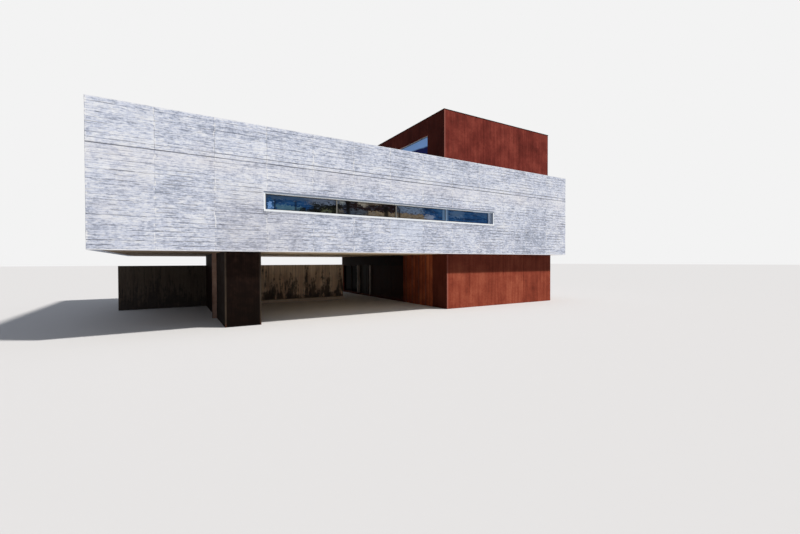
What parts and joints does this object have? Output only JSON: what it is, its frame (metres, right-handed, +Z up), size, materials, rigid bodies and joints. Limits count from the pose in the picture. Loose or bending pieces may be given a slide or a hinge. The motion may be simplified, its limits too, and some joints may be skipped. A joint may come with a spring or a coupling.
{
  "type": "beach house",
  "caption": "Modern beach house: long board-marked concrete box over an open carport, on a weathering steel core with a hinged entry door, with a smaller steel box on its roof.",
  "frame": {"origin": "at ground level below the middle of the concrete box", "axes": "+Z up, +X along the long front to the right as seen from the front, the long front faces -Y"},
  "size_m": [22.1, 13.65, 9.69],
  "materials": {
    "board_marked_concrete": "raw concrete with board marks, matt",
    "soffit_concrete": "smooth cast concrete, matt",
    "weathered_concrete": "board-marked concrete with water stains",
    "roof_deck": "pale gravel and screed",
    "floor_screed": "trowelled screed",
    "weathering_steel": "rusted plate, matt",
    "dark_steel": "dark rusted plate, matt",
    "black_panel": "satin black paint",
    "door_boards": "dark stained boards",
    "pale_metal": "satin anodised",
    "window_glass": "clear sealed units"
  },
  "bodies": {
    "house": {"front_wall": "board_marked_concrete", "back_wall": "board_marked_concrete", "left_end_wall": "board_marked_concrete", "right_end_wall": "board_marked_concrete", "soffit_slab": "soffit_concrete", "roof_slab": "roof_deck", "front_window_lining": "pale_metal", "front_window_frame": "pale_metal", "front_window_glass": "window_glass", "back_window_lining": "pale_metal", "back_window_frame": "pale_metal", "back_window_glass": "window_glass", "upper_front_wall": "weathering_steel", "upper_back_wall": "weathering_steel", "upper_right_wall": "weathering_steel", "upper_left_returns": "weathering_steel", "upper_left_lintel": "weathering_steel", "upper_roof": "roof_deck", "upper_coping": "dark_steel", "upper_window_frame": "pale_metal", "upper_window_glass": "window_glass", "core_front_wall": "weathering_steel", "core_back_wall": "weathering_steel", "core_right_wall": "weathering_steel", "core_corner_plate": "weathering_steel", "core_ribbed_panel": "weathering_steel", "core_dark_panels": "black_panel", "core_lintel": "dark_steel", "core_sill": "weathering_steel", "core_floor": "floor_screed", "entry_fins": "pale_metal", "entry_side_panel": "black_panel", "entry_jamb": "dark_steel", "entry_window_frame": "dark_steel", "entry_window_glass": "window_glass", "door_pivots": "pale_metal", "store_front_wall": "dark_steel", "store_left_wall": "dark_steel", "store_right_wall": "dark_steel", "store_back_wall": "dark_steel", "side_column": "weathering_steel", "low_wall": "weathered_concrete", "kerb": "soffit_concrete"},
    "door": {"door_leaf": "door_boards", "door_pull": "pale_metal"}
  },
  "joints": [
    {"name": "entry_door_hinge", "type": "hinge", "parent": "house", "child": "door", "pos_m": [2.605, 3.486, 0.08], "axis": [0, 0, 1], "range_deg": [0, 90]}
  ]
}
